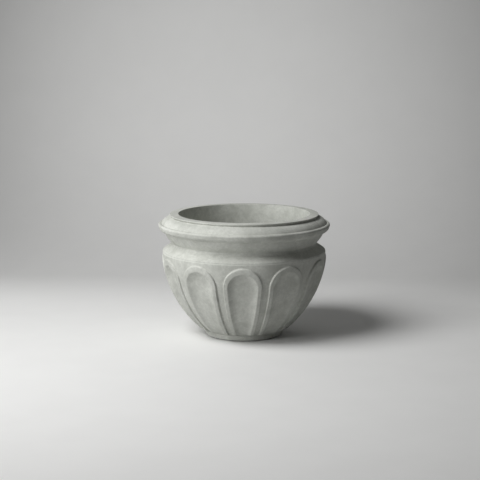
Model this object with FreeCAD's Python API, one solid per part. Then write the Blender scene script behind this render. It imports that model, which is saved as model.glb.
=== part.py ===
import FreeCAD, Part
import math
import os

# Cast-stone urn planter: a lobed bowl on a low foot, with a moulded collar bedded on top of it.
# Millimetres, +Z up. The origin is on the ground, on the axis of revolution.
# Profiles are drawn in a meridian plane as (radius, height) and turned about Z.
# One lobe is centred on the front, which is -Y.

# ---- heights, each measured up from the one before ----
PAD_PROJECTION = 2.0        # the pads hold the foot this far off the ground
UNDERSIDE_RECESS = 10.0     # hollow under the floor, inside the foot ring
FLOOR_THICKNESS = 26.0
FOOT_TOP_HEIGHT = 15.5      # top of the foot, from the ground
FOOT_SOFFIT_RISE = 4.5      # from the foot's top up to where the lobes end
BED_HEIGHT = 224.0          # top of the bowl casting, from the ground
BED_THICKNESS = 1.6         # mortar between bowl and collar
SHOULDER_RISE = 27.6        # from the bowl's top up to the sharp waist
NECK_RISE = 28.6            # from the waist up to the rim's underside
NOSE_RISE = 15.8            # from the rim's underside up to its widest ring
BEAD_RISE = 6.0             # from there up to where the nose meets the sloping top
SLOPE_RISE = 16.7           # from there up to the foot of the small step outside the lip
LIP_RISE = 8.1              # from there up to the lip's inner edge
LIP_FALL = 2.6              # the lip's top slopes down and out by this much

# ---- widths, each measured out from the one before ----
THROAT_RADIUS = 174.8       # inner edge of the lip
THROAT_FLARE = 2.8          # the hollow is this much narrower below, where its taper ends
LIP_WIDTH = 25.0
SLOPE_WIDTH = 24.0          # the rim's sloping top, from the lip out to the nose
NOSE_OVERHANG = 5.4
RIM_OVERHANG = 16.2         # from the rim's widest ring back in to the top of the neck
NECK_FLARE = 19.2           # the neck is this much wider at its top than at the waist
SHOULDER_WIDTH = 28.6       # from the waist out to the widest place of the bowl's curve
FOOT_RADIUS = 103.5
FOOT_RING_WIDTH = 26.0
FOOT_INSET = 16.9           # the foot stands back this far from the ends of the lobes
FLOOR_INSET = 39.1          # the hollow's floor stands back this far from the same place

# ---- rim and shoulder mouldings ----
ARRIS_ROUND = 1.5           # small rounds on the foot, sleeve and plug
SLOPE_BULGE = 1.3           # the rim's sloping top stands this far above its chord
QUIRK_RISE = 1.4            # the nose starts with a small raised arris above the slope
QUIRK_WIDTH = 1.4
NOSE_DROP = 8.6             # from the widest ring down to where the nose turns under
NOSE_TURN_IN = 2.2
UNDERSIDE_BULGE = 1.6
RIM_FILLET_WIDTH = 1.4      # small return under the rim, above the neck
NECK_BULGE = 1.2
WAIST_DROP = 4.0            # plain upright below the waist
COVE_RADIUS = 13.0
COVE_TURN = 72.0            # degrees that the cove under the waist turns outwards
SHOULDER_ROUND = 9.0

# ---- bowl and hollow ----
CURVE_RISE = 22.0           # the outer curve is widest this far above the bowl's top
HOLLOW_CURVE_DROP = 24.0    # the hollow's curve is widest this far below the bowl's top
FOOT_SOFFIT_WIDTH = 7.0     # the bowl's underside runs in to the foot over this width
FLOOR_CORNER_ROUND = 14.0

# ---- lobes ----
LOBE_COUNT = 11
LOBE_HALF_ANGLE = 13.85     # degrees from a lobe's middle to its outer edge
LOBE_SPRING_DROP = 62.0     # straight sides pass into the round top this far below the bowl's top
LOBE_RELIEF = 4.0           # the border stands this far above the ground of the bowl
LOBE_EDGE_ROUND = 1.8
BORDER_WIDTH = 11.0
SCOOP_EDGE_SLOPE = 18.5     # degrees between the dished panel and its chord at the border
SCOOP_SPRING_DROP = 1.5     # the dish's round end is centred this far below the outline's
SCOOP_STATIONS = 5
SCOOP_RUN_OUT = 6.5         # degrees that the dish's cutter runs on past the foot of the lobes

# ---- fittings ----
DOWEL_RADIUS = 5.0
DOWEL_COUNT = 6
DOWEL_IN_BOWL = 32.0
DOWEL_IN_COLLAR = 16.0
HOOP_ROD_RADIUS = 3.0
RIM_HOOP_COVER = 21.2       # from the rim's widest ring in to the middle of its hoop
BOWL_HOOP_GAP = 12.0        # from the dowels' lower ends down to the bowl's hoop
CAST_CLEARANCE = 0.2        # between a casting and what is set in it
BED_INSET = 0.3             # the mortar stands just back from both faces

# ---- drain ----
SLEEVE_BORE_RADIUS = 13.5
SLEEVE_WALL = 2.5
SLEEVE_FLANGE_RADIUS = 24.0
SLEEVE_FLANGE_THICKNESS = 3.0
PLUG_CLEARANCE = 0.3
PLUG_TAPER = 1.0            # narrower at the lower end by this much in radius
PLUG_END_GAP = 2.0          # the plug stops short of the sleeve's lower end
PLUG_CAP_RADIUS = 19.0
PLUG_CAP_THICKNESS = 4.0
PLUG_NECK_RADIUS = 5.5
PLUG_NECK_HEIGHT = 6.0
PLUG_KNOB_RADIUS = 10.0
PLUG_KNOB_HEIGHT = 6.0

# ---- pads ----
PAD_COUNT = 4
PAD_FIRST_ANGLE = 45.0      # degrees from the front
PAD_RADIUS = 10.0
PAD_RECESS_DEPTH = 3.0

AXIS = FreeCAD.Vector(0, 0, 1)
ORIGIN = FreeCAD.Vector(0, 0, 0)

# ---- heights and radii that follow ----
RECESS_TOP_HEIGHT = PAD_PROJECTION + UNDERSIDE_RECESS
FLOOR_TOP_HEIGHT = RECESS_TOP_HEIGHT + FLOOR_THICKNESS
LOBE_FOOT_HEIGHT = FOOT_TOP_HEIGHT + FOOT_SOFFIT_RISE
LOBE_SPRING_HEIGHT = BED_HEIGHT - LOBE_SPRING_DROP
SCOOP_TOP_HEIGHT = LOBE_SPRING_HEIGHT - SCOOP_SPRING_DROP
WAIST_HEIGHT = BED_HEIGHT + SHOULDER_RISE
RIM_UNDERSIDE_HEIGHT = WAIST_HEIGHT + NECK_RISE
NOSE_HEIGHT = RIM_UNDERSIDE_HEIGHT + NOSE_RISE
BEAD_HEIGHT = NOSE_HEIGHT + BEAD_RISE
LIP_STEP_HEIGHT = BEAD_HEIGHT + SLOPE_RISE
TOTAL_HEIGHT = LIP_STEP_HEIGHT + LIP_RISE

LIP_RADIUS = THROAT_RADIUS + LIP_WIDTH
BEAD_RADIUS = LIP_RADIUS + SLOPE_WIDTH
NOSE_RADIUS = BEAD_RADIUS + NOSE_OVERHANG
NECK_TOP_RADIUS = NOSE_RADIUS - RIM_OVERHANG
WAIST_RADIUS = NECK_TOP_RADIUS - NECK_FLARE
LOBE_FOOT_RADIUS = FOOT_RADIUS + FOOT_INSET


def arc_through(drop, inset):
    """Radius of an arc that starts upright and, drop further down, stands inset further in."""
    return (drop ** 2 + inset ** 2) / (2 * inset)


# The bowl's raised face is one meridian arc, and the hollow's lower part is another.
BELLY_RADIUS = WAIST_RADIUS + SHOULDER_WIDTH
BOWL_CURVE_HEIGHT = BED_HEIGHT + CURVE_RISE
BOWL_CURVE_RADIUS = arc_through(BOWL_CURVE_HEIGHT - LOBE_FOOT_HEIGHT, BELLY_RADIUS - LOBE_FOOT_RADIUS)
INNER_BELLY_RADIUS = THROAT_RADIUS - THROAT_FLARE
INNER_CURVE_HEIGHT = BED_HEIGHT - HOLLOW_CURVE_DROP
INNER_CURVE_RADIUS = arc_through(INNER_CURVE_HEIGHT - FLOOR_TOP_HEIGHT,
                                 INNER_BELLY_RADIUS - (LOBE_FOOT_RADIUS - FLOOR_INSET))


def point(radius, height):
    """A place in the meridian plane that profiles are drawn in."""
    return FreeCAD.Vector(radius, 0, height)


def bulged(start, end, bulge):
    """Middle point of an arc from start to end that stands bulge to the left of the chord."""
    chord = (end[0] - start[0], end[1] - start[1])
    length = math.hypot(*chord)
    middle = ((start[0] + end[0]) / 2, (start[1] + end[1]) / 2)
    return (middle[0] - chord[1] / length * bulge, middle[1] + chord[0] / length * bulge)


def turned(start, *steps):
    """Solid of revolution from a closed outline. A step is (end) or (arc middle, end)."""
    edges = []
    here = start
    for step in steps + ((start,),):
        end = step[-1]
        if len(step) == 2:
            edges.append(Part.Arc(point(*here), point(*step[0]), point(*end)).toShape())
        elif math.dist(here, end) > 1e-6:
            edges.append(Part.LineSegment(point(*here), point(*end)).toShape())
        here = end
    return Part.Face(Part.Wire(edges)).revolve(ORIGIN, AXIS, 360)


def arc_radius(height, curve_radius, curve_height, belly):
    """Radius at a height of a meridian arc that is widest at curve_height."""
    return belly - curve_radius + math.sqrt(curve_radius ** 2 - (height - curve_height) ** 2)


def raised_radius(height, depth=0.0):
    """Radius of the lobes' raised face, or of a face lying depth inside it."""
    return arc_radius(height, BOWL_CURVE_RADIUS - depth, BOWL_CURVE_HEIGHT, BELLY_RADIUS - depth)


def ground_radius(height):
    """Radius of the bowl's plain ground between the lobes."""
    return raised_radius(height, LOBE_RELIEF)


def inner_radius(height):
    """Radius of the hollow: a dished lower part under a slightly tapered upper part."""
    if height >= INNER_CURVE_HEIGHT:
        share = (height - INNER_CURVE_HEIGHT) / (TOTAL_HEIGHT - INNER_CURVE_HEIGHT)
        return INNER_BELLY_RADIUS + share * (THROAT_RADIUS - INNER_BELLY_RADIUS)
    return arc_radius(height, INNER_CURVE_RADIUS, INNER_CURVE_HEIGHT, INNER_BELLY_RADIUS)


def on_arc(radius_at, low, high):
    """(arc middle, end) of a meridian arc between two heights."""
    middle = (low + high) / 2
    return (radius_at(middle), middle), (radius_at(high), high)


def around(solid, count, first=0.0):
    """Copies of a solid at even turns about the axis."""
    copies = []
    for index in range(count):
        copy = solid.copy()
        copy.rotate(ORIGIN, AXIS, first + index * 360.0 / count)
        copies.append(copy)
    return copies


def rim_hoop(clearance=0.0):
    """Closed hoop of round rod in the rim, or the cavity for it."""
    place = FreeCAD.Vector(0, 0, NOSE_HEIGHT)
    return Part.makeTorus(NOSE_RADIUS - RIM_HOOP_COVER, HOOP_ROD_RADIUS + clearance, place, AXIS)


def bowl_hoop(clearance=0.0):
    """Closed hoop of round rod in the middle of the bowl's wall, or the cavity for it."""
    height = BED_HEIGHT - DOWEL_IN_BOWL - BOWL_HOOP_GAP
    ring_radius = (inner_radius(height) + ground_radius(height)) / 2
    place = FreeCAD.Vector(0, 0, height)
    return Part.makeTorus(ring_radius, HOOP_ROD_RADIUS + clearance, place, AXIS)


def dowel(clearance=0.0):
    """One dowel, or the hole for it, at its place on the front of the bed joint."""
    foot = BED_HEIGHT - DOWEL_IN_BOWL - clearance
    length = DOWEL_IN_BOWL + BED_THICKNESS + DOWEL_IN_COLLAR + 2 * clearance
    ring_radius = (inner_radius(WAIST_HEIGHT) + WAIST_RADIUS) / 2
    place = FreeCAD.Vector(0, -ring_radius, foot)
    return Part.makeCylinder(DOWEL_RADIUS + clearance, length, place, AXIS)


def pad(clearance=0.0):
    """One foot pad, or the recess for it."""
    place = FreeCAD.Vector(0, -(FOOT_RADIUS - FOOT_RING_WIDTH / 2), 0)
    height = PAD_PROJECTION + PAD_RECESS_DEPTH
    return Part.makeCylinder(PAD_RADIUS + clearance, height, place, AXIS)


def lobe_blank():
    """Raised slab of one lobe, with its round top, lying on the front of the bowl."""
    spread = math.sin(math.radians(LOBE_HALF_ANGLE))
    drop = BOWL_CURVE_HEIGHT - LOBE_SPRING_HEIGHT
    lean = math.atan(spread * drop / math.sqrt(BOWL_CURVE_RADIUS ** 2 - drop ** 2))
    half_width = spread * raised_radius(LOBE_SPRING_HEIGHT)
    top_radius = half_width / math.cos(lean)
    crown = LOBE_SPRING_HEIGHT + top_radius * (1 + math.sin(lean))
    low_width = spread * raised_radius(LOBE_FOOT_HEIGHT)
    middle_height = (LOBE_FOOT_HEIGHT + LOBE_SPRING_HEIGHT) / 2
    middle_width = spread * raised_radius(middle_height)
    low_left, low_right = point(-low_width, LOBE_FOOT_HEIGHT), point(low_width, LOBE_FOOT_HEIGHT)
    left, right = point(-half_width, LOBE_SPRING_HEIGHT), point(half_width, LOBE_SPRING_HEIGHT)
    outline = Part.Wire([
        Part.LineSegment(low_left, low_right).toShape(),
        Part.Arc(low_right, point(middle_width, middle_height), right).toShape(),
        Part.Arc(right, point(0, crown), left).toShape(),
        Part.Arc(left, point(-middle_width, middle_height), low_left).toShape(),
    ])
    prism = Part.Face(outline).extrude(FreeCAD.Vector(0, -2 * BELLY_RADIUS, 0))
    foot, head = LOBE_FOOT_HEIGHT, BED_HEIGHT
    rooted = 2 * LOBE_RELIEF
    skin = turned(
        (raised_radius(foot, rooted), foot),
        ((raised_radius(foot), foot),),
        on_arc(raised_radius, foot, head),
        ((raised_radius(head, rooted), head),),
        on_arc(lambda height: raised_radius(height, rooted), head, foot),
    )
    return skin.common(prism)


def rounded_blank():
    """The lobe's slab with its outer arris rounded."""
    blank = lobe_blank()
    face_height = (LOBE_FOOT_HEIGHT + LOBE_SPRING_HEIGHT) / 2
    front = FreeCAD.Vector(0, -raised_radius(face_height), face_height)
    outer = min(blank.Faces, key=lambda face: face.distToShape(Part.Vertex(front))[0])
    arris = [edge for edge in outer.Edges if edge.BoundBox.ZLength > LOBE_EDGE_ROUND]
    return blank.makeFillet(LOBE_EDGE_ROUND, arris)


def scoop():
    """Round-nosed cutter that dishes one lobe, tapering towards the foot of the bowl."""
    slope = math.radians(SCOOP_EDGE_SLOPE)
    spread = math.sin(math.radians(LOBE_HALF_ANGLE))
    first = math.asin((BOWL_CURVE_HEIGHT - SCOOP_TOP_HEIGHT) / BOWL_CURVE_RADIUS)
    foot = math.asin((BOWL_CURVE_HEIGHT - LOBE_FOOT_HEIGHT) / BOWL_CURVE_RADIUS)
    last = foot + math.radians(SCOOP_RUN_OUT)
    hub = BELLY_RADIUS - BOWL_CURVE_RADIUS
    circles = []
    for station in range(SCOOP_STATIONS):
        angle = first + (last - first) * station / (SCOOP_STATIONS - 1)
        radius = hub + BOWL_CURVE_RADIUS * math.cos(angle)
        half_width = radius * spread - BORDER_WIDTH
        tool_radius = half_width / math.sin(slope)
        bowl_rise = half_width ** 2 * math.cos(angle) / (2 * radius)
        depth = tool_radius * (1 - math.cos(slope)) + bowl_rise
        reach = BOWL_CURVE_RADIUS - depth + tool_radius
        centre = FreeCAD.Vector(0, -(hub + reach * math.cos(angle)),
                                BOWL_CURVE_HEIGHT - reach * math.sin(angle))
        along = FreeCAD.Vector(0, math.sin(angle), -math.cos(angle))
        circles.append(Part.Wire([Part.makeCircle(tool_radius, centre, along)]))
        if station == 0:
            nose = Part.makeSphere(tool_radius, centre)
    cutter = Part.makeLoft(circles, True).fuse(nose)
    side = 2 * BOWL_CURVE_RADIUS
    corner = FreeCAD.Vector(-side, -2 * side, LOBE_FOOT_HEIGHT - 2 * side)
    return cutter.cut(Part.makeBox(2 * side, 2 * side, 2 * side, corner))


def bowl():
    """Lower casting: foot ring, dished floor and lobed wall."""
    recess_radius = FOOT_RADIUS - FOOT_RING_WIDTH
    foot_inside = (FOOT_RADIUS - ARRIS_ROUND, PAD_PROJECTION)
    foot_outside = (FOOT_RADIUS, PAD_PROJECTION + ARRIS_ROUND)
    foot_bulge = ARRIS_ROUND * (1 - math.sqrt(0.5))
    soffit = (ground_radius(LOBE_FOOT_HEIGHT) - FOOT_SOFFIT_WIDTH, FOOT_TOP_HEIGHT)
    body = turned(
        (0, RECESS_TOP_HEIGHT),
        ((recess_radius, RECESS_TOP_HEIGHT),),
        ((recess_radius, PAD_PROJECTION),),
        (foot_inside,),
        (bulged(foot_inside, foot_outside, -foot_bulge), foot_outside),
        ((FOOT_RADIUS, FOOT_TOP_HEIGHT),),
        (soffit,),
        ((ground_radius(LOBE_FOOT_HEIGHT), LOBE_FOOT_HEIGHT),),
        on_arc(ground_radius, LOBE_FOOT_HEIGHT, BED_HEIGHT),
        ((inner_radius(BED_HEIGHT), BED_HEIGHT),),
        ((inner_radius(INNER_CURVE_HEIGHT), INNER_CURVE_HEIGHT),),
        on_arc(inner_radius, INNER_CURVE_HEIGHT, FLOOR_TOP_HEIGHT),
        ((0, FLOOR_TOP_HEIGHT),),
    )
    body = round_floor_corner(body)
    body = body.fuse(around(rounded_blank(), LOBE_COUNT)).removeSplitter()
    body = body.cut(around(scoop(), LOBE_COUNT))
    cavities = around(dowel(CAST_CLEARANCE), DOWEL_COUNT)
    cavities += around(pad(CAST_CLEARANCE), PAD_COUNT, PAD_FIRST_ANGLE)
    cavities.append(bowl_hoop(CAST_CLEARANCE))
    sleeve_hole = SLEEVE_BORE_RADIUS + SLEEVE_WALL + CAST_CLEARANCE
    cavities.append(Part.makeCylinder(sleeve_hole, FLOOR_TOP_HEIGHT))
    return body.cut(cavities)


def round_floor_corner(body):
    """Rounds the hollow's corner between floor and wall."""
    corner_radius = inner_radius(FLOOR_TOP_HEIGHT)
    corner = [edge for edge in body.Edges
              if abs(edge.BoundBox.ZMax - FLOOR_TOP_HEIGHT) < 1e-3
              and edge.BoundBox.ZLength < 1e-3
              and abs(edge.BoundBox.XMax - corner_radius) < 1e-3]
    return body.makeFillet(FLOOR_CORNER_ROUND, corner)


def collar():
    """Upper casting: shoulder, neck, moulded rim and lip."""
    bed_top = BED_HEIGHT + BED_THICKNESS
    lip_inner, lip_outer = (THROAT_RADIUS, TOTAL_HEIGHT), (LIP_RADIUS, TOTAL_HEIGHT - LIP_FALL)
    step_foot = (LIP_RADIUS, LIP_STEP_HEIGHT)
    slope_foot = (BEAD_RADIUS, BEAD_HEIGHT)
    bead = (BEAD_RADIUS + QUIRK_WIDTH, BEAD_HEIGHT + QUIRK_RISE)
    nose = (NOSE_RADIUS, NOSE_HEIGHT)
    turn_under = (NOSE_RADIUS - NOSE_TURN_IN, NOSE_HEIGHT - NOSE_DROP)
    fillet_top = (NECK_TOP_RADIUS + RIM_FILLET_WIDTH, RIM_UNDERSIDE_HEIGHT)
    neck_top = (NECK_TOP_RADIUS, RIM_UNDERSIDE_HEIGHT - RIM_FILLET_WIDTH)
    waist = (WAIST_RADIUS, WAIST_HEIGHT)
    shoulder = shoulder_points(ground_radius(BED_HEIGHT), bed_top)
    return turned(
        (inner_radius(bed_top), bed_top),
        ((ground_radius(BED_HEIGHT), bed_top),),
        (shoulder["round_middle"], shoulder["round_top"]),
        (shoulder["cove_foot"],),
        (shoulder["cove_middle"], shoulder["cove_top"]),
        (waist,),
        (bulged(waist, neck_top, -NECK_BULGE), neck_top),
        (fillet_top,),
        (bulged(fillet_top, turn_under, -UNDERSIDE_BULGE), turn_under),
        (nose, bead),
        (slope_foot,),
        (bulged(slope_foot, step_foot, -SLOPE_BULGE), step_foot),
        (lip_outer,),
        (lip_inner,),
    )


def shoulder_points(edge_radius, edge_height):
    """Cove under the waist and round edge of the shoulder, tangent along a short flat."""
    start = math.radians(180)
    stop = start + math.radians(COVE_TURN)
    middle = (start + stop) / 2
    centre = (WAIST_RADIUS + COVE_RADIUS, WAIST_HEIGHT - WAIST_DROP)
    round_centre = (edge_radius - SHOULDER_ROUND, edge_height)
    turn = math.radians(COVE_TURN)
    return {
        "cove_top": (WAIST_RADIUS, WAIST_HEIGHT - WAIST_DROP),
        "cove_middle": (centre[0] + COVE_RADIUS * math.cos(middle),
                        centre[1] + COVE_RADIUS * math.sin(middle)),
        "cove_foot": (centre[0] + COVE_RADIUS * math.cos(stop),
                      centre[1] + COVE_RADIUS * math.sin(stop)),
        "round_top": (round_centre[0] + SHOULDER_ROUND * math.cos(turn),
                      round_centre[1] + SHOULDER_ROUND * math.sin(turn)),
        "round_middle": (round_centre[0] + SHOULDER_ROUND * math.cos(turn / 2),
                         round_centre[1] + SHOULDER_ROUND * math.sin(turn / 2)),
    }


def hollowed_collar():
    """The collar with the cavities of what is set in it."""
    cavities = around(dowel(CAST_CLEARANCE), DOWEL_COUNT)
    cavities.append(rim_hoop(CAST_CLEARANCE))
    return collar().cut(cavities)


def bed_joint():
    """Mortar ring between the castings, pointed nearly flush with both faces."""
    inner = inner_radius(BED_HEIGHT) + BED_INSET
    outer = ground_radius(BED_HEIGHT) - BED_INSET
    place = FreeCAD.Vector(0, 0, BED_HEIGHT)
    ring = Part.makeCylinder(outer, BED_THICKNESS, place)
    ring = ring.cut(Part.makeCylinder(inner, BED_THICKNESS, place))
    return ring.cut(around(dowel(CAST_CLEARANCE), DOWEL_COUNT))


def drain_sleeve():
    """Flanged plastic sleeve that lines the drain hole."""
    outer = SLEEVE_BORE_RADIUS + SLEEVE_WALL
    flange_top = FLOOR_TOP_HEIGHT + SLEEVE_FLANGE_THICKNESS
    return turned(
        (SLEEVE_BORE_RADIUS, RECESS_TOP_HEIGHT),
        ((outer, RECESS_TOP_HEIGHT),),
        ((outer, FLOOR_TOP_HEIGHT),),
        ((SLEEVE_FLANGE_RADIUS, FLOOR_TOP_HEIGHT),),
        ((SLEEVE_FLANGE_RADIUS, flange_top - ARRIS_ROUND),),
        ((SLEEVE_FLANGE_RADIUS - ARRIS_ROUND, flange_top),),
        ((SLEEVE_BORE_RADIUS, flange_top),),
    )


def drain_plug():
    """Tapered rubber plug with a cap and a knob to pull it by."""
    shank = SLEEVE_BORE_RADIUS - PLUG_CLEARANCE
    foot = RECESS_TOP_HEIGHT + PLUG_END_GAP
    cap_low = FLOOR_TOP_HEIGHT + SLEEVE_FLANGE_THICKNESS + PLUG_CLEARANCE
    cap_top = cap_low + PLUG_CAP_THICKNESS
    knob_low = cap_top + PLUG_NECK_HEIGHT
    knob_middle = knob_low + PLUG_KNOB_HEIGHT / 2
    knob_top = knob_low + PLUG_KNOB_HEIGHT
    knob_flat = PLUG_KNOB_RADIUS - PLUG_KNOB_HEIGHT / 2
    return turned(
        (0, foot),
        ((shank - PLUG_TAPER, foot),),
        ((shank, cap_low),),
        ((PLUG_CAP_RADIUS, cap_low),),
        ((PLUG_CAP_RADIUS - ARRIS_ROUND, cap_top),),
        ((PLUG_NECK_RADIUS, cap_top),),
        ((PLUG_NECK_RADIUS, knob_low),),
        ((knob_flat, knob_low),),
        ((PLUG_KNOB_RADIUS, knob_middle), (knob_flat, knob_top)),
        ((0, knob_top),),
    )


def build():
    """Every node of the planter, by name."""
    return {
        "bowl": bowl(),
        "collar": hollowed_collar(),
        "bed_joint": bed_joint(),
        "dowel_pins": Part.makeCompound(around(dowel(), DOWEL_COUNT)),
        "rim_hoop": rim_hoop(),
        "bowl_hoop": bowl_hoop(),
        "drain_sleeve": drain_sleeve(),
        "drain_plug": drain_plug(),
        "foot_pads": Part.makeCompound(around(pad(), PAD_COUNT, PAD_FIRST_ANGLE)),
    }


def main():
    os.makedirs("parts", exist_ok=True)
    for name, shape in build().items():
        shape.exportStep(os.path.join("parts", name + ".step"))
        box = shape.BoundBox
        print(f"{name}: {len(shape.Solids)} solids, {shape.Volume / 1000:.1f} cm3, "
              f"valid {shape.isValid()}, z {box.ZMin:.1f} to {box.ZMax:.1f}, width {box.XLength:.1f}")


main()
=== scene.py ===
import math

import bpy
import numpy as np
from mathutils import Matrix, Vector


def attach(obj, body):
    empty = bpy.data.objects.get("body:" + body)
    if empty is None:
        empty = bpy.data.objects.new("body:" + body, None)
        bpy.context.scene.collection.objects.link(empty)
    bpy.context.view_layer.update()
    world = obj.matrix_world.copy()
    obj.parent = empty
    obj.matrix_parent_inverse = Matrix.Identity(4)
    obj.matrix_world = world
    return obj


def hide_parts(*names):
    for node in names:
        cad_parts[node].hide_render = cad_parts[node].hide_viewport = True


# Looks of a cast-stone urn planter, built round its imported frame. Metres, +Z up, front is -Y.
# Each casting, and the mortar between them, is one closed grid of points: its rows follow a
# closed outline of radii and heights, and its columns go round the axis.

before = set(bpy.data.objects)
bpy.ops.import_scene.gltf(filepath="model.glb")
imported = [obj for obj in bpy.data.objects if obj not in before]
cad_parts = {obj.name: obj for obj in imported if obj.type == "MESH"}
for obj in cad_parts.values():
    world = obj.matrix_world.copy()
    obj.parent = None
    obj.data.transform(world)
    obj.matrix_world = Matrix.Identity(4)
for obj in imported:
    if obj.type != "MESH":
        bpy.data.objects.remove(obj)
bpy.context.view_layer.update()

BODY = "planter"

# ---- heights from the ground ----
TOTAL_HEIGHT = 0.3268
MIDDLE_HEIGHT = TOTAL_HEIGHT / 2
GROOVE_HEIGHT = 0.3202          # bottom of the groove under the lip
ROLL_TOP_HEIGHT = 0.3179
QUIRK_HEIGHT = 0.3018           # crease between the rim's soft roll and its bead
NOSE_HEIGHT = 0.2968            # widest ring
RIM_UNDERSIDE_HEIGHT = 0.2802
WAIST_HEIGHT = 0.2516
BED_HEIGHT = 0.2240             # top of the bowl casting
BED_THICKNESS = 0.0016
BED_TOP_HEIGHT = BED_HEIGHT + BED_THICKNESS
FLOOR_TOP_HEIGHT = 0.0380
LOBE_FOOT_HEIGHT = 0.0200
FOOT_TOP_HEIGHT = 0.0155
PAD_PROJECTION = 0.0020         # the pads hold the foot this far off the ground
UNDERSIDE_RECESS = 0.0100

# ---- radii ----
THROAT_RADIUS = 0.1748
LIP_RADIUS = 0.1986
QUIRK_RADIUS = 0.2206
NOSE_RADIUS = 0.2292
NECK_TOP_RADIUS = 0.2130
WAIST_RADIUS = 0.1938
FOOT_RADIUS = 0.1035
FOOT_RING_WIDTH = 0.0260
DRAIN_HOLE_RADIUS = 0.0162

# ---- mouldings of the collar, from the lip down ----
LIP_FALL = 0.0008               # its top slopes down and out by this much
LIP_EDGE = 0.0030               # upright edge, above the groove
GROOVE_DEPTH = 0.0034
ROLL_BULGE = 0.0036             # the sloping top of the rim stands this far above its chord
BEAD_CROWN_RADIUS = 0.2266      # of the raised bead, level with the quirk behind it
NOSE_DROP = 0.0080
NOSE_TURN_IN = 0.0026
UNDERSIDE_BULGE = 0.0016
RIM_FILLET_WIDTH = 0.0014
NECK_BULGE = 0.0018
COVE_RADIUS = 0.0080
SHOULDER_FALL = math.radians(34)
SHOULDER_ROUND = 0.0045
SHOULDER_FACE = 0.0020          # upright band between the joint and the round edge

# ---- the mortar, struck flush ----
JOINT_LAP = 0.0005              # it is smeared this far over each casting's arris
JOINT_CROWN = 0.0003

# ---- curves of the bowl's outside and of the hollow ----
BELLY_RADIUS = 0.2224
BOWL_CURVE_RADIUS = 0.3014
BOWL_CURVE_HEIGHT = 0.2460
BOWL_HUB = BELLY_RADIUS - BOWL_CURVE_RADIUS
FOOT_SOFFIT_WIDTH = 0.0070
INNER_CURVE_RADIUS = 0.1900
INNER_CURVE_HEIGHT = 0.2000
INNER_BELLY_RADIUS = 0.1720
FLOOR_CORNER_ROUND = 0.0140
FLOOR_CORNER_RISE = 0.0070      # from the floor up to where its round corner meets the wall
FLOOR_CORNER_BULGE = 0.0012

# ---- lobes ----
LOBE_COUNT = 11
LOBE_BAY = 2 * math.pi / LOBE_COUNT
LOBE_SPREAD = math.sin(math.radians(13.85))     # half a lobe's width, as a share of the radius
LOBE_SPRING_HEIGHT = 0.1620     # straight sides pass into the round top
LOBE_RELIEF = 0.0040
BORDER_WIDTH = 0.0110
BORDER_WALL = 0.0026            # width over which the border rises from the ground
BORDER_ARRIS = 2.6              # power of that rise: more rounds the arris and sharpens the foot
SCOOP_EDGE_SLOPE = math.radians(18.5)
SCOOP_TOP_HEIGHT = 0.1605
PANEL_SQUARENESS = 1.6          # 1 dishes a panel as one round hollow; more steepens its edge
PANEL_EDGE_SOFTNESS = 0.0007

# ---- softness of the cast faces ----
ARRIS_SOFTNESS = 0.0005
SOFT_SAMPLES = 4                # places in each length of softness, for the weighted mean
SOFT_REACH = 12                 # places taken into that mean each way
WAVE_DEPTH = 0.0004             # the faces' slight unevenness
WAVE_SIZE = 0.035
WAVE_DETAIL = 3

# ---- mesh spacing ----
EDGE_STEP = 0.0016              # rows of small parts of the bowl
FACE_STEP = 0.0024              # lobed face below the lobes' round tops
CROWN_STEP = 0.0012             # lobed face beside them
FOOT_STEP = 0.0008
HOLLOW_STEP = 0.0040
FLAT_STEP = 0.0080
UNDERSIDE_STEP = 0.0120
COLLAR_STEP = 0.0008
JOINT_STEP = 0.0004
PLAIN_COLUMNS = 528
# Half a bay's columns: degrees from and to, and how many. They crowd at the lobes' edges.
LOBE_COLUMNS = ((0.0, 7.2, 9), (7.2, 11.4, 14), (11.4, 12.9, 4), (12.9, 14.2, 10),
                (14.2, 180 / LOBE_COUNT, 4))
# How far the last rows of the foot's soffit lie towards the scalloped ends of the lobes.
SOFFIT_SHARES = (0.25, 0.625, 0.8125)
TINY = 1e-8

# ---- colours ----
STONE_PALE = (0.660, 0.672, 0.627)
STONE_DARK = (0.497, 0.509, 0.468)
MORTAR_PALE = (0.700, 0.715, 0.665)
MORTAR_DARK = (0.620, 0.640, 0.585)
BACKDROP_COLOUR = (0.90, 0.90, 0.89)
WORLD_COLOUR = (1.0, 1.0, 0.985)

# ---- noises and layers of the stone ----
# Each noise's scale per metre, detail and roughness.
STONE_NOISES = {
    "blotch": (14.0, 3.0, 0.60),
    "cloud": (45.0, 4.0, 0.60),
    "fleck": (150.0, 3.0, 0.65),
    "pits": (260.0, 2.0, 0.50),
    "grain": (900.0, 3.0, 0.70),
}
PIT_FADE = (0.70, 0.78)         # a pit's noise from its rim to its floor
# From the lowest layer up: what drives it, the two values between which it fades, its share at
# each of them, and its colour as a share of the pale or the dark tone.
STONE_LAYERS = (
    ("blotch", 0.35, 0.68, 0.00, 1.00, "pale", 1.00),
    ("cloud", 0.42, 0.60, 0.00, 0.50, "pale", 1.00),
    ("fleck", 0.36, 0.64, 0.30, 0.00, "dark", 0.80),
    ("grain", 0.30, 0.70, 0.00, 0.22, "dark", 0.72),
    ("pits", *PIT_FADE, 0.00, 0.35, "dark", 0.45),
    ("edge", 0.52, 0.60, 0.00, 0.35, "pale", 1.12),     # worn arrises
    ("edge", 0.40, 0.48, 0.35, 0.00, "dark", 0.70),     # painted shade in the creases, darker where the mesh turns in
)
# What drives each bump, its depth in metres and its strength.
STONE_BUMPS = (("grain", 0.00025, 0.5), ("pits", 0.0004, 0.6), ("fleck", 0.0010, 0.5),
               ("cloud", 0.0015, 0.5))
STONE_ROUGHNESS = (0.84, 0.96)
STONE_SPECULAR = 0.25

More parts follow.
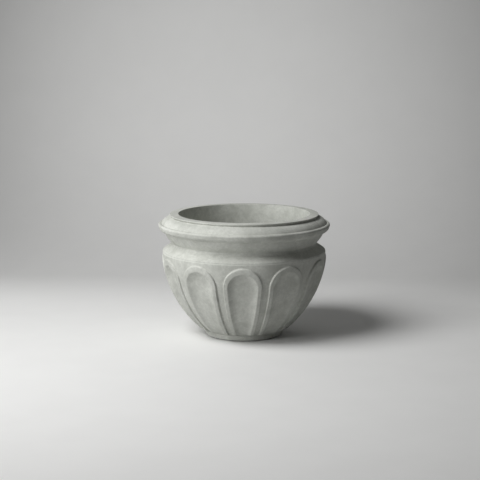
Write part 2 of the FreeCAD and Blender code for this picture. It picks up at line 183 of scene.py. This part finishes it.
# ---- finishes of the fittings ----
# Each finish's colour, roughness, metallic and the scale of its grain.
FINISHES = {
    "stainless_bar": ((0.62, 0.62, 0.60), 0.35, 1.0, 900.0),
    "zinc_rod": ((0.50, 0.51, 0.52), 0.55, 1.0, 500.0),
    "drain_plastic": ((0.055, 0.055, 0.055), 0.50, 0.0, 400.0),
    "black_rubber": ((0.045, 0.045, 0.045), 0.75, 0.0, 400.0),
}
FITTINGS = {"dowel_pins": "stainless_bar", "rim_hoop": "zinc_rod", "bowl_hoop": "zinc_rod",
            "drain_sleeve": "drain_plastic", "drain_plug": "black_rubber",
            "foot_pads": "black_rubber"}
PLAIN_NOISE = (4.0, 0.55)       # detail and roughness
NOISE_FADE = (0.3, 0.7)         # range of a noise that is used from end to end
MOTTLE_SCALE = 60.0
MOTTLE_SHADE = 0.8              # the darker tone, as a share of the colour
ROUGHNESS_SPREAD = 0.08
GRAIN_BUMP = (0.0002, 0.3)      # depth and strength
WEAR_FADE = (0.52, 0.62)        # pointiness at which an edge starts to look worn, and at its most
WEAR_SHARE = 0.4
WEAR_PALER = 1.5

# ---- backdrop ----
FIBRE_SCALE = 8.0
FIBRE_SHADE = 0.985
BOUNCE_SHARE = 0.68             # of the backdrop's paleness that lights the planter
# A painted pool of light on the backdrop: the paper is painted paler about a centre and darker
# away from it, as a lamp's beam falls off.
PAINTED_LIGHT_CENTRE = (0.137, 1.50, 0.373)
PAINTED_LIGHT_LEVEL = 0.93
PAINTED_LIGHT_FADE = 0.293               # per square metre away from the centre
PAINTED_LIGHT_LEAST = 0.45
PAINTED_LIGHT_DEPTHS = (0.35, 1.40)      # behind the axis, where the floor passes into the painted pool of light
SWEEP_START = 0.78              # behind the axis, where the floor starts to curve up
SWEEP_RADIUS = 0.80
SWEEP_ROWS = 25
STAGE_HALF_WIDTH = 14.0
STAGE_FRONT = 14.0
STAGE_TOP = 6.0
FLOOR_CLEARANCE = 0.0002

# ---- lamps: azimuths are from the front, negative to the left, and powers are in watts ----
KEY = dict(azimuth=math.radians(-56), elevation=math.radians(52), distance=2.2, size=1.35,
           power=30.0, aim=(0.6, 0.45, MIDDLE_HEIGHT))  # past the planter, for its far side
SIDE = dict(azimuth=math.radians(-58), elevation=math.radians(9), distance=3.5, size=1.2,
            power=33.0, aim=(0, 0, MIDDLE_HEIGHT))
LAMP_SPREAD = math.radians(156)
WORLD_LEVEL = 0.06

# ---- camera ----
CAMERA_LENS = 97.82             # millimetres, as is the sensor
CAMERA_SENSOR = 36.0
CAMERA_PLACE = (-0.0108, -3.4434, 0.8274)
CAMERA_PITCH = math.radians(9.46)
CAMERA_TURN = math.radians(1.1)     # the front lobe stands a little left of the middle
CAMERA_CLIP = (0.1, 50.0)


# ---------------------------------------------------------------- outlines

def bulged(start, end, bulge):
    """Middle point of an arc from start to end that stands bulge to the left of the chord."""
    chord = (end[0] - start[0], end[1] - start[1])
    length = math.hypot(*chord)
    middle = ((start[0] + end[0]) / 2, (start[1] + end[1]) / 2)
    return (middle[0] - chord[1] / length * bulge, middle[1] + chord[0] / length * bulge)


def on_circle(centre, radius, angle):
    return (centre[0] + radius * math.cos(angle), centre[1] + radius * math.sin(angle))


def line_points(start, end, step):
    """Points from start up to, not including, end."""
    count = max(1, round(math.dist(start, end) / step))
    share = np.arange(count)[:, None] / count
    return np.array(start) * (1 - share) + np.array(end) * share


def arc_points(start, middle, end, step):
    """Points of the arc through three points, without its end."""
    (ax, ay), (bx, by), (cx, cy) = start, middle, end
    d = 2 * (ax * (by - cy) + bx * (cy - ay) + cx * (ay - by))
    a, b, c = ax * ax + ay * ay, bx * bx + by * by, cx * cx + cy * cy
    centre = ((a * (by - cy) + b * (cy - ay) + c * (ay - by)) / d,
              (a * (cx - bx) + b * (ax - cx) + c * (bx - ax)) / d)
    radius = math.dist(start, centre)
    full = 2 * math.pi
    first = math.atan2(ay - centre[1], ax - centre[0])
    via = (math.atan2(by - centre[1], bx - centre[0]) - first) % full
    turn = (math.atan2(cy - centre[1], cx - centre[0]) - first) % full
    if via > turn:
        turn -= full
    count = max(2, round(abs(turn) * radius / step))
    angles = first + turn * np.arange(count) / count
    return np.stack([centre[0] + radius * np.cos(angles), centre[1] + radius * np.sin(angles)], 1)


def path_points(start, *moves):
    """Points along lines and arcs, without the last end. A move is (step, end) for a line, or
    (step, middle, end) for an arc."""
    runs = []
    for step, *through in moves:
        draw = arc_points if len(through) == 2 else line_points
        runs.append(draw(start, *through, step))
        start = through[-1]
    return np.concatenate(runs)


def softened(points):
    """A closed outline with every arris rounded, by a weighted mean along its length."""
    closed = np.concatenate([points, points[:1]])
    lengths = np.linalg.norm(np.diff(closed, axis=0), axis=1)
    total = lengths.sum()
    places = np.concatenate([[0], np.cumsum(lengths)])
    fine = np.arange(0, total, ARRIS_SOFTNESS / SOFT_SAMPLES)
    dense = np.stack([np.interp(fine, places, closed[:, k]) for k in (0, 1)], 1)
    reach = np.arange(-SOFT_REACH, SOFT_REACH + 1)
    weights = np.exp(-0.5 * (reach / SOFT_SAMPLES) ** 2)
    weights /= weights.sum()
    mean = sum(w * np.roll(dense, -k, axis=0) for k, w in zip(reach, weights))
    return np.stack([np.interp(places[:-1], fine, mean[:, k], period=total) for k in (0, 1)], 1)


def arc_radius(height, curve_radius, curve_height, belly):
    """Radius at a height of a face turned from an arc that is widest at curve_height."""
    return belly - curve_radius + np.sqrt(curve_radius ** 2 - (height - curve_height) ** 2)


def raised_radius(height, depth=0.0):
    """Radius of the lobes' raised face, or of a face lying depth inside it."""
    return arc_radius(height, BOWL_CURVE_RADIUS - depth, BOWL_CURVE_HEIGHT, BELLY_RADIUS - depth)


def ground_radius(height):
    """Radius of the bowl's face between the lobes."""
    return raised_radius(height, LOBE_RELIEF)


def inner_radius(height):
    """Radius of the hollow."""
    if height >= INNER_CURVE_HEIGHT:
        share = (height - INNER_CURVE_HEIGHT) / (TOTAL_HEIGHT - INNER_CURVE_HEIGHT)
        return INNER_BELLY_RADIUS + share * (THROAT_RADIUS - INNER_BELLY_RADIUS)
    return arc_radius(height, INNER_CURVE_RADIUS, INNER_CURVE_HEIGHT, INNER_BELLY_RADIUS)


def on_ground(height):
    return (ground_radius(height), height)


def on_hollow(height):
    return (inner_radius(height), height)


# ---------------------------------------------------------------- lobes

def curve_angle(height):
    """Angle below level at which the bowl's curve has a height, seen from its centre."""
    return math.asin((BOWL_CURVE_HEIGHT - height) / BOWL_CURVE_RADIUS)


def curve_point(angle, depth=0.0):
    """(radius, height) on the bowl's curve, or depth inside it."""
    reach = BOWL_CURVE_RADIUS - depth
    return BOWL_HUB + reach * np.cos(angle), BOWL_CURVE_HEIGHT - reach * np.sin(angle)


def scoop_tool(angle):
    """(radius, reach, depth) of the round tool that dishes a lobe, at an angle below level."""
    radius, _ = curve_point(angle)
    half_width = radius * LOBE_SPREAD - BORDER_WIDTH
    tool = half_width / math.sin(SCOOP_EDGE_SLOPE)
    crown = half_width ** 2 * np.cos(angle) / (2 * radius)
    depth = tool * (1 - math.cos(SCOOP_EDGE_SLOPE)) + crown
    return tool, BOWL_CURVE_RADIUS - depth + tool, depth


def scoop_depth(angle, radius, across):
    """How far the dished panel lies inside the raised face; negative outside the panel."""
    first = curve_angle(SCOOP_TOP_HEIGHT)
    tool, reach, full = scoop_tool(np.maximum(angle, first))
    past = np.minimum(angle - first, 0)
    inside = tool ** 2 - across ** 2 - (reach * np.sin(past)) ** 2
    bottom = reach * np.cos(past) - np.sqrt(np.maximum(inside, TINY))
    face = BOWL_CURVE_RADIUS - across ** 2 * np.cos(angle) / (2 * radius)
    cut = face - bottom
    share = np.clip(1 - cut / full, 0, 1)
    return np.where(cut > 0, full * (1 - share ** PANEL_SQUARENESS), cut * PANEL_SQUARENESS)


def outline_distance(height, radius, across):
    """Distance outside a lobe's outline, seen from its front; negative inside."""
    drop = BOWL_CURVE_HEIGHT - LOBE_SPRING_HEIGHT
    lean = math.atan(LOBE_SPREAD * drop / math.sqrt(BOWL_CURVE_RADIUS ** 2 - drop ** 2))
    top_radius = LOBE_SPREAD * raised_radius(LOBE_SPRING_HEIGHT) / math.cos(lean)
    top_centre = LOBE_SPRING_HEIGHT + top_radius * math.sin(lean)
    side = np.abs(across) - LOBE_SPREAD * radius
    crown = np.hypot(across, height - top_centre) - top_radius
    return np.where(height < LOBE_SPRING_HEIGHT, side, crown)


def soft_max(a, b, softness):
    """The larger of two depths, rounded where they meet."""
    near = np.maximum(softness - np.abs(a - b), 0)
    return np.maximum(a, b) + near ** 2 / (4 * softness)


def lobe_depth(angle, turn):
    """How far the finished bowl lies inside the raised face, at a turn from a lobe's middle."""
    radius, height = curve_point(angle)
    across = radius * np.sin(turn)
    rise = np.clip(-outline_distance(height, radius, across) / BORDER_WALL, 0, 1)
    border = LOBE_RELIEF * (1 - rise) ** BORDER_ARRIS
    return soft_max(border, scoop_depth(angle, radius, across), PANEL_EDGE_SOFTNESS)


def face_angles():
    """Angles of the lobed face's rows, from its foot up."""
    foot, spring, head = map(curve_angle, (LOBE_FOOT_HEIGHT, LOBE_SPRING_HEIGHT, BED_HEIGHT))
    low_rows = round((foot - spring) * BOWL_CURVE_RADIUS / FACE_STEP)
    high_rows = round((spring - head) * BOWL_CURVE_RADIUS / CROWN_STEP)
    return np.concatenate([np.linspace(foot, spring, low_rows, endpoint=False),
                           np.linspace(spring, head, high_rows)])


def lobe_columns():
    """Turns of the bowl's columns from the front."""
    half = np.concatenate([np.linspace(low, high, count, endpoint=False)
                           for low, high, count in LOBE_COLUMNS])
    bay = np.concatenate([-half[:0:-1], half, [180 / LOBE_COUNT]])
    return np.radians(np.concatenate([bay + lobe * 360 / LOBE_COUNT
                                      for lobe in range(LOBE_COUNT)]))


# ---------------------------------------------------------------- meshes

def grid_object(name, points):
    """A closed smooth mesh from points[row, column], closed round both ways."""
    rows, columns = points.shape[:2]
    index = np.arange(rows * columns).reshape(rows, columns)
    right = np.roll(index, -1, axis=1)
    quads = np.stack([index, right, np.roll(right, -1, axis=0), np.roll(index, -1, axis=0)], -1)
    mesh = bpy.data.meshes.new(name)
    mesh.vertices.add(rows * columns)
    mesh.vertices.foreach_set("co", points.reshape(-1).astype(np.float32))
    mesh.loops.add(quads.size)
    mesh.loops.foreach_set("vertex_index", quads.reshape(-1).astype(np.int32))
    mesh.polygons.add(rows * columns)
    mesh.polygons.foreach_set("loop_start", np.arange(0, quads.size, 4, dtype=np.int32))
    mesh.polygons.foreach_set("use_smooth", np.ones(rows * columns, dtype=bool))
    mesh.update(calc_edges=True)
    mesh.validate()
    thing = bpy.data.objects.new(name, mesh)
    bpy.context.collection.objects.link(thing)
    return thing


def turned(radius, height, turns):
    """points[row, column] at radii and heights, with the turns measured from the front."""
    height = np.broadcast_to(height, (len(height), len(turns)))
    return np.stack([radius * np.sin(turns), -radius * np.cos(turns), height], -1)


def turned_outline(points, turns):
    return turned(points[:, :1], points[:, 1:], turns)


def plain_turns():
    return np.arange(PLAIN_COLUMNS) * 2 * math.pi / PLAIN_COLUMNS


def add_unevenness(thing):
    """Slight waviness of a cast face. It only ever cuts in, so the size stays."""
    texture = bpy.data.textures.new(thing.name + "_wave", "CLOUDS")
    texture.noise_scale = WAVE_SIZE
    texture.noise_depth = WAVE_DETAIL
    wave = thing.modifiers.new("uneven", "DISPLACE")
    wave.texture = texture
    wave.texture_coords = "LOCAL"
    wave.strength = WAVE_DEPTH
    wave.mid_level = 1.0


def bowl_inside():
    """The bowl's outline from the head of its lobed face, through the hollow and the drain hole,
    to the foot and its soffit."""
    recess_top = PAD_PROJECTION + UNDERSIDE_RECESS
    recess_radius = FOOT_RADIUS - FOOT_RING_WIDTH
    corner_height = FLOOR_TOP_HEIGHT + FLOOR_CORNER_RISE
    corner = on_hollow(corner_height)
    floor_start = (inner_radius(FLOOR_TOP_HEIGHT) - FLOOR_CORNER_ROUND, FLOOR_TOP_HEIGHT)
    lobe_foot = on_ground(LOBE_FOOT_HEIGHT)
    return path_points(
        on_ground(BED_HEIGHT),
        (FLAT_STEP, on_hollow(BED_HEIGHT)),
        (HOLLOW_STEP, on_hollow(INNER_CURVE_HEIGHT)),
        (HOLLOW_STEP, on_hollow((INNER_CURVE_HEIGHT + corner_height) / 2), corner),
        (EDGE_STEP, bulged(corner, floor_start, -FLOOR_CORNER_BULGE), floor_start),
        (FLAT_STEP, (DRAIN_HOLE_RADIUS, FLOOR_TOP_HEIGHT)),
        (FLAT_STEP, (DRAIN_HOLE_RADIUS, recess_top)),
        (UNDERSIDE_STEP, (recess_radius, recess_top)),
        (HOLLOW_STEP, (recess_radius, PAD_PROJECTION)),
        (EDGE_STEP, (FOOT_RADIUS, PAD_PROJECTION)),
        (FOOT_STEP, (FOOT_RADIUS, FOOT_TOP_HEIGHT)),
        (EDGE_STEP, (lobe_foot[0] - FOOT_SOFFIT_WIDTH, FOOT_TOP_HEIGHT)),
        (EDGE_STEP, lobe_foot),
    )


def make_bowl():
    """Lower casting: lobed outside, and a plain turned hollow, foot and underside."""
    turns = lobe_columns()
    angles = face_angles()[:, None]
    lobe_turns = (turns + LOBE_BAY / 2) % LOBE_BAY - LOBE_BAY / 2
    outside = turned(*curve_point(angles, lobe_depth(angles, lobe_turns)), turns)

    heights = curve_point(angles)[1]
    ground = np.concatenate([ground_radius(heights), heights], 1)
    outline = softened(np.concatenate([ground, bowl_inside()]))
    inside = turned_outline(outline[len(ground):], turns)
    soffit_rows = range(-len(SOFFIT_SHARES), 0)
    soffit = inside[soffit_rows[0]].copy()
    for row, share in zip(soffit_rows, SOFFIT_SHARES):
        inside[row] = soffit * (1 - share) + outside[0] * share
    return grid_object("bowl_casting", np.concatenate([outside, inside])[::-1])


def shoulder_moves():
    """Moves from the joint up the shoulder: its face, its round edge, its straight fall and the
    cove under the waist."""
    turn = math.pi / 2 - SHOULDER_FALL
    edge_centre = (ground_radius(BED_HEIGHT) - SHOULDER_ROUND, BED_TOP_HEIGHT + SHOULDER_FACE)
    edge_foot, edge_middle, edge_top = (on_circle(edge_centre, SHOULDER_ROUND, angle)
                                        for angle in (0, turn / 2, turn))
    fall_radius = WAIST_RADIUS + COVE_RADIUS * (1 - math.cos(turn))
    fall_height = edge_top[1] + (edge_top[0] - fall_radius) * math.tan(SHOULDER_FALL)
    cove_centre = (WAIST_RADIUS + COVE_RADIUS, fall_height + COVE_RADIUS * math.sin(turn))
    cove_middle = on_circle(cove_centre, COVE_RADIUS, math.pi + turn / 2)
    return ((edge_foot,), (edge_middle, edge_top), ((fall_radius, fall_height),),
            (cove_middle, (WAIST_RADIUS, cove_centre[1])))


def make_collar():
    """Upper casting: shoulder, neck, moulded rim and lip."""
    start = on_hollow(BED_TOP_HEIGHT)
    waist = (WAIST_RADIUS, WAIST_HEIGHT)
    neck_top = (NECK_TOP_RADIUS, RIM_UNDERSIDE_HEIGHT - RIM_FILLET_WIDTH)
    fillet_top = (NECK_TOP_RADIUS + RIM_FILLET_WIDTH, RIM_UNDERSIDE_HEIGHT)
    turn_under = (NOSE_RADIUS - NOSE_TURN_IN, NOSE_HEIGHT - NOSE_DROP)
    quirk = (QUIRK_RADIUS, QUIRK_HEIGHT)
    roll_top = (LIP_RADIUS, ROLL_TOP_HEIGHT)
    lip_outer = (LIP_RADIUS, TOTAL_HEIGHT - LIP_FALL)
    moves = (
        ((ground_radius(BED_HEIGHT), BED_TOP_HEIGHT),),
        *shoulder_moves(),
        (waist,),
        (bulged(waist, neck_top, -NECK_BULGE), neck_top),
        (fillet_top,),
        (bulged(fillet_top, turn_under, -UNDERSIDE_BULGE), turn_under),
        ((NOSE_RADIUS, NOSE_HEIGHT),),
        ((BEAD_CROWN_RADIUS, QUIRK_HEIGHT), quirk),
        (bulged(quirk, roll_top, -ROLL_BULGE), roll_top),
        ((LIP_RADIUS - GROOVE_DEPTH, GROOVE_HEIGHT),),
        ((LIP_RADIUS, lip_outer[1] - LIP_EDGE),),
        (lip_outer,),
        ((THROAT_RADIUS, TOTAL_HEIGHT),),
        (start,),
    )
    points = path_points(start, *((COLLAR_STEP, *through) for through in moves))
    return grid_object("collar_casting", turned_outline(softened(points), plain_turns()))


def make_joint():
    """Mortar between the castings, struck flush with them inside and out."""
    low, high = BED_HEIGHT - JOINT_LAP, BED_TOP_HEIGHT + JOINT_LAP
    face_radius = ground_radius(BED_HEIGHT)
    start = (inner_radius(BED_HEIGHT), low)
    moves = (
        ((face_radius, low),),
        ((face_radius + JOINT_CROWN, (low + high) / 2), (face_radius, high)),
        ((inner_radius(BED_TOP_HEIGHT), high),),
        (start,),
    )
    points = path_points(start, *((JOINT_STEP, *through) for through in moves))
    return grid_object("joint_mortar", turned_outline(points, plain_turns()))


# ---------------------------------------------------------------- materials

def scaled(colour, factor):
    return tuple(min(1.0, factor * c) for c in colour)


class Nodes:
    """A new material's node tree, with short ways to add to it."""

    def __init__(self, name):
        self.material = bpy.data.materials.new(name)
        self.material.use_nodes = True
        self.tree = self.material.node_tree
        self.shader = self.tree.nodes["Principled BSDF"]
        self.place = self.add("ShaderNodeTexCoord").outputs["Object"]

    def fill(self, node, inputs):
        """Gives a node's inputs, by name or number, a link, a colour or a plain value."""
        for name, value in inputs.items():
            target = node.inputs[name]
            if isinstance(value, bpy.types.NodeSocket):
                self.tree.links.new(value, target)
            elif target.type == "RGBA":
                target.default_value = (*value, 1.0)
            else:
                target.default_value = value

    def add(self, kind, inputs=None, **attributes):
        """A node, with its attributes set before its inputs are filled."""
        node = self.tree.nodes.new(kind)
        for name, value in attributes.items():
            setattr(node, name, value)
        self.fill(node, inputs or {})
        return node

    def noise(self, scale, detail, roughness):
        return self.add("ShaderNodeTexNoise", {"Vector": self.place, "Scale": scale,
                                               "Detail": detail, "Roughness": roughness}
                        ).outputs["Fac"]

    def ramp(self, value, low, high, low_to=0.0, high_to=1.0):
        """Fades from low_to to high_to while a value goes from low to high."""
        return self.add("ShaderNodeMapRange", {0: value, 1: low, 2: high, 3: low_to, 4: high_to},
                        interpolation_type="SMOOTHSTEP").outputs[0]

    def mix(self, share, first, second, blend="MIX"):
        return self.add("ShaderNodeMix", {0: share, 6: first, 7: second},
                        data_type="RGBA", blend_type=blend).outputs[2]

    def grey(self, value):
        return self.add("ShaderNodeCombineColor", {0: value, 1: value, 2: value}).outputs[0]

    def combine(self, operation, first, second):
        return self.add("ShaderNodeMath", {0: first, 1: second}, operation=operation).outputs[0]

    def bump(self, height, depth, strength, below=None):
        """Normal of a bumpy face, on top of the bumps below it."""
        inputs = {"Height": height, "Distance": depth, "Strength": strength}
        if below is not None:
            inputs["Normal"] = below
        return self.add("ShaderNodeBump", inputs).outputs["Normal"]

    def edge(self):
        """How sharply the mesh turns: over a half on arrises, under it in creases."""
        return self.add("ShaderNodeNewGeometry").outputs["Pointiness"]


def stone_material(name, pale, dark):
    """Matt cast stone: soft blotches, flecks, grain, pits, worn arrises and painted shade in
    creases.
    """
    nodes = Nodes(name)
    drivers = {kind: nodes.noise(*noise) for kind, noise in STONE_NOISES.items()}
    drivers["edge"] = nodes.edge()
    tone = dark
    for kind, low, high, low_share, high_share, base, factor in STONE_LAYERS:
        share = nodes.ramp(drivers[kind], low, high, low_share, high_share)
        tone = nodes.mix(share, tone, scaled(pale if base == "pale" else dark, factor))
    drivers["pits"] = nodes.ramp(drivers["pits"], *PIT_FADE, 0.0, -1.0)
    normal = None
    for kind, depth, strength in STONE_BUMPS:
        normal = nodes.bump(drivers[kind], depth, strength, normal)
    nodes.fill(nodes.shader, {
        "Base Color": tone,
        "Roughness": nodes.ramp(drivers["cloud"], *NOISE_FADE, *STONE_ROUGHNESS),
        "Specular IOR Level": STONE_SPECULAR,
        "Normal": normal,
    })
    return nodes.material


def plain_material(name, colour, roughness, metallic, grain):
    """Worn metal, rubber or plastic: mottled colour and roughness, fine bump, paler edges."""
    nodes = Nodes(name)
    fine = nodes.noise(grain, *PLAIN_NOISE)
    mottle = nodes.ramp(nodes.noise(MOTTLE_SCALE, *PLAIN_NOISE), *NOISE_FADE)
    tone = nodes.mix(mottle, scaled(colour, MOTTLE_SHADE), colour)
    wear = nodes.ramp(nodes.edge(), *WEAR_FADE, 0.0, WEAR_SHARE)
    nodes.fill(nodes.shader, {
        "Base Color": nodes.mix(wear, tone, scaled(colour, WEAR_PALER)),
        "Roughness": nodes.ramp(fine, *NOISE_FADE, roughness - ROUGHNESS_SPREAD,
                                roughness + ROUGHNESS_SPREAD),
        "Metallic": metallic,
        "Normal": nodes.bump(fine, *GRAIN_BUMP),
    })
    return nodes.material


def backdrop_material():
    """Plain pale paper, clear from behind. As the camera, reflections and clear things see it, it
    carries a painted pool of light, palest about a centre behind the planter and darker away from
    it. The light that it bounces is held down."""
    nodes = Nodes("backdrop_paper")
    fibre = nodes.ramp(nodes.noise(FIBRE_SCALE, *PLAIN_NOISE), *NOISE_FADE)
    paper = nodes.mix(fibre, BACKDROP_COLOUR, scaled(BACKDROP_COLOUR, FIBRE_SHADE))
    # Painted pool of light: the paper is paler near a centre behind the planter and darker away
    # from it. The near floor keeps its full paleness.
    away = nodes.add("ShaderNodeVectorMath", {0: nodes.place, 1: PAINTED_LIGHT_CENTRE},
                     operation="DISTANCE").outputs["Value"]
    fade = nodes.combine("MULTIPLY", nodes.combine("POWER", away, 2.0), PAINTED_LIGHT_FADE)
    painted_light = nodes.combine("MAXIMUM", nodes.combine("SUBTRACT", PAINTED_LIGHT_LEVEL, fade), PAINTED_LIGHT_LEAST)
    depth = nodes.add("ShaderNodeSeparateXYZ", {0: nodes.place}).outputs["Y"]
    level = nodes.mix(nodes.ramp(depth, *PAINTED_LIGHT_DEPTHS), (1.0, 1.0, 1.0), nodes.grey(painted_light))
    path = nodes.add("ShaderNodeLightPath").outputs
    seen = nodes.combine("MAXIMUM", path["Is Camera Ray"], path["Is Glossy Ray"])
    seen = nodes.combine("MAXIMUM", seen, path["Is Transmission Ray"])
    nodes.fill(nodes.shader, {
        "Base Color": nodes.mix(seen, scaled(BACKDROP_COLOUR, BOUNCE_SHARE),
                                nodes.mix(1.0, paper, level, "MULTIPLY")),
        "Roughness": 1.0,
        "Specular IOR Level": 0.0,
    })
    one_sided = nodes.add("ShaderNodeMixShader", {
        0: nodes.add("ShaderNodeNewGeometry").outputs["Backfacing"],
        1: nodes.shader.outputs[0],
        2: nodes.add("ShaderNodeBsdfTransparent").outputs[0],
    })
    nodes.fill(nodes.tree.nodes["Material Output"], {"Surface": one_sided.outputs[0]})
    return nodes.material


def dress(thing, material):
    """Gives an object one material in place of what it had."""
    thing.data.materials.clear()
    thing.data.materials.append(material)


# ---------------------------------------------------------------- stage, light, camera

def make_stage():
    """Pale floor that sweeps up into a backdrop."""
    sweep = [(SWEEP_START + SWEEP_RADIUS * math.sin(angle), SWEEP_RADIUS * (1 - math.cos(angle)))
             for angle in np.linspace(0, math.pi / 2, SWEEP_ROWS)]
    section = [(-STAGE_FRONT, 0.0)] + sweep + [(SWEEP_START + SWEEP_RADIUS, STAGE_TOP)]
    corners = [(side * STAGE_HALF_WIDTH, y, z) for y, z in section for side in (-1, 1)]
    faces = [(2 * i, 2 * i + 1, 2 * i + 3, 2 * i + 2) for i in range(len(section) - 1)]
    mesh = bpy.data.meshes.new("backdrop")
    mesh.from_pydata(corners, [], faces)
    for polygon in mesh.polygons:
        polygon.use_smooth = True
    stage = bpy.data.objects.new("backdrop", mesh)
    stage.location.z = -FLOOR_CLEARANCE
    bpy.context.collection.objects.link(stage)
    dress(stage, backdrop_material())


def soft_light(name, azimuth, elevation, distance, size, power, aim):
    """A round soft box at a direction from the planter, facing a point."""
    level = math.cos(elevation)
    towards = Vector((math.sin(azimuth) * level, -math.cos(azimuth) * level,
                      math.sin(elevation)))
    light = bpy.data.lights.new(name, "AREA")
    light.shape = "DISK"
    light.size = size
    light.spread = LAMP_SPREAD
    light.energy = power
    lamp = bpy.data.objects.new(name, light)
    lamp.location = towards * distance + Vector((0, 0, MIDDLE_HEIGHT))
    lamp.rotation_euler = (Vector(aim) - lamp.location).to_track_quat("-Z", "Y").to_euler()
    lamp.visible_camera = False
    bpy.context.collection.objects.link(lamp)


def make_lights():
    """A soft key from the front left, a low one from the left, and a faint even surround."""
    soft_light("key", **KEY)
    soft_light("side", **SIDE)
    world = bpy.data.worlds.new("surround")
    world.use_nodes = True
    background = world.node_tree.nodes["Background"]
    background.inputs["Color"].default_value = (*WORLD_COLOUR, 1.0)
    background.inputs["Strength"].default_value = WORLD_LEVEL
    bpy.context.scene.world = world


def make_camera():
    """The photograph's viewpoint."""
    data = bpy.data.cameras.new("camera")
    data.lens = CAMERA_LENS
    data.sensor_width = CAMERA_SENSOR
    data.clip_start, data.clip_end = CAMERA_CLIP
    camera = bpy.data.objects.new("camera", data)
    camera.matrix_world = (Matrix.Rotation(CAMERA_TURN, 4, "Z")
                           @ Matrix.Translation(CAMERA_PLACE)
                           @ Matrix.Rotation(math.pi / 2 - CAMERA_PITCH, 4, "X"))
    bpy.context.collection.objects.link(camera)
    bpy.context.scene.camera = camera


# ---------------------------------------------------------------- scene

def make_castings():
    """The two castings and their joint, as fine meshes in place of their plain solids."""
    stone = stone_material("cast_stone", STONE_PALE, STONE_DARK)
    mortar = stone_material("mortar", MORTAR_PALE, MORTAR_DARK)
    bowl, collar, joint = make_bowl(), make_collar(), make_joint()
    add_unevenness(bowl)
    add_unevenness(collar)
    for thing, node, material, slot in ((bowl, "bowl", stone, "cast_stone"),
                                        (collar, "collar", stone, "cast_stone"),
                                        (joint, "bed_joint", mortar, "mortar")):
        dress(thing, material)
        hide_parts(node)
        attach(thing, BODY)


def dress_fittings():
    """Finishes of the pieces that keep their solids."""
    materials = {name: plain_material(name, *finish) for name, finish in FINISHES.items()}
    for node, finish in FITTINGS.items():
        dress(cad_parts[node], materials[finish])


make_castings()
dress_fittings()
make_stage()
make_lights()
make_camera()

bpy.context.scene.view_settings.view_transform = "Standard"
